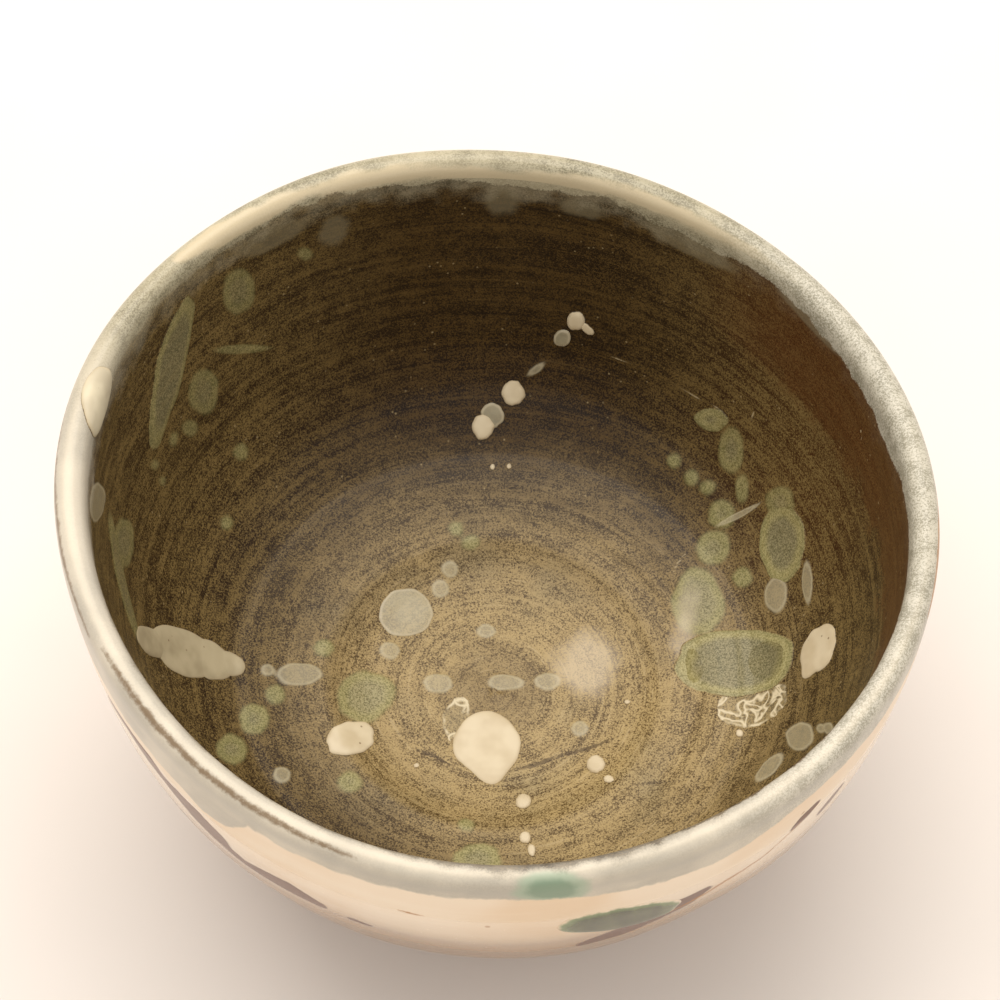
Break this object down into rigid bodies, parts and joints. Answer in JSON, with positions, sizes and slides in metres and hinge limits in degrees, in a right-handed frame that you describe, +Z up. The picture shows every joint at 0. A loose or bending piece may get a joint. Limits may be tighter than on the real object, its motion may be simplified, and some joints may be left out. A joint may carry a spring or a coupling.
{
  "type": "matcha bowl",
  "caption": "Hand-thrown matcha bowl with a foot ring, an uneven rolled lip, glaze coats and raised glaze drops.",
  "frame": {"origin": "centre of the circle the foot ring stands on, at the table surface", "axes": "+Z up along the bowl's axis, -Y towards the side with the green glaze on the outside, +X towards the lower side of the rim"},
  "size_m": [0.1224, 0.1212, 0.0732],
  "materials": {
    "clay_body": "bare fired clay",
    "foot_ring": "bare fired clay",
    "outside_glaze": "glossy cream glaze with brown streaks",
    "lip_glaze": "glossy grey-white glaze",
    "inside_glaze": "glossy dark brown speckled glaze",
    "white_drop": "glossy opaque white glaze",
    "grey_drop": "glossy translucent grey glaze",
    "green_splash": "glossy dark green glaze"
  },
  "bodies": {
    "root": {"clay_body": "clay_body", "foot_ring": "foot_ring", "outside_glaze": "outside_glaze", "lip_glaze": "lip_glaze", "inside_glaze": "inside_glaze", "white_drop_floor": "white_drop", "white_drop_near_well": "white_drop", "white_drop_left_run": "white_drop", "white_drop_right": "white_drop", "grey_drop_floor": "grey_drop", "green_splash_right": "green_splash", "green_splash_left": "green_splash", "green_splash_far": "green_splash", "green_splash_back": "green_splash", "green_splash_front": "green_splash"}
  },
  "joints": []
}
